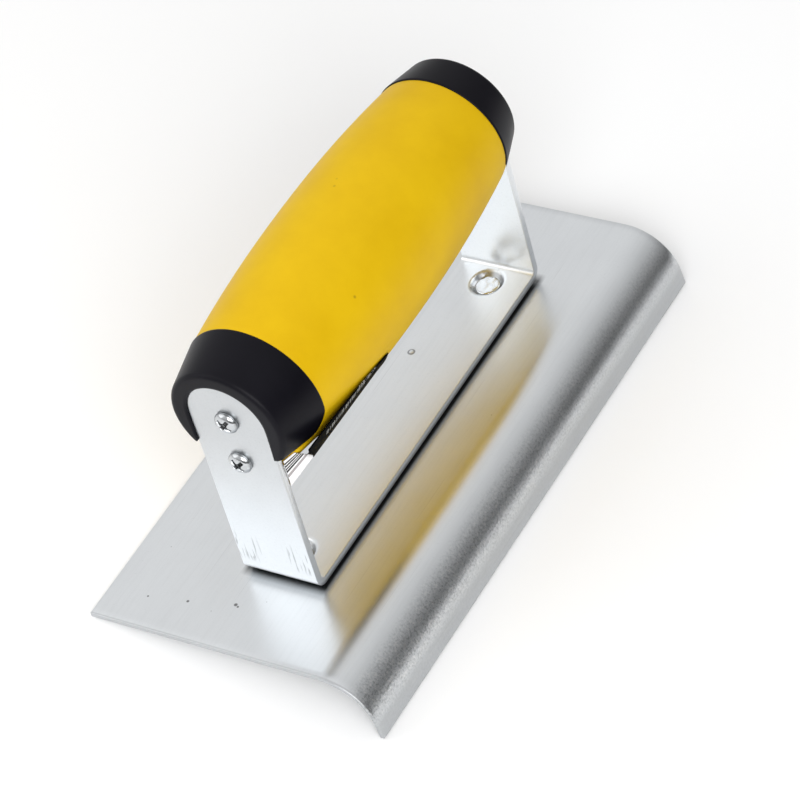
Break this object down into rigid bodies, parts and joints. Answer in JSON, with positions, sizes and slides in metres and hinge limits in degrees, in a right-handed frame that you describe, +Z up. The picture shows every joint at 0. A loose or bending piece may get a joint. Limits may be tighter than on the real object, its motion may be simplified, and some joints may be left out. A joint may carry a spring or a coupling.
{
  "type": "hand edger",
  "caption": "Hand edger for concrete or plaster: a flat steel blade turned down along one long side, a U bracket and a barrel grip with dark end caps.",
  "frame": {"origin": "on the ground, under the centre of the bounding box, with the tool lying at rest on its free long edge and the tip of its lip", "axes": "+Z up, +Y along the blade and the grip towards the far end, +X across the blade towards the turned-down lip"},
  "size_m": [0.0768, 0.152, 0.0786],
  "materials": {
    "blade_steel": "satin sheet steel",
    "bracket_steel": "satin bright-plated strip",
    "rivet_steel": "hammered, shiny",
    "core_plastic": "moulded, hidden",
    "grip_yellow": "matte soft-touch",
    "cap_black": "satin",
    "screw_nickel": "bright nickel plate",
    "label_film": "printed film, black with a white end"
  },
  "bodies": {
    "root": {"blade": "blade_steel", "bracket": "bracket_steel", "rivet_near": "rivet_steel", "rivet_far": "rivet_steel", "handle_core": "core_plastic", "grip_sleeve": "grip_yellow", "end_cap_near": "cap_black", "end_cap_far": "cap_black", "screw_near_upper": "screw_nickel", "screw_near_lower": "screw_nickel", "screw_far_upper": "screw_nickel", "screw_far_lower": "screw_nickel", "grip_label": "label_film"}
  },
  "joints": []
}
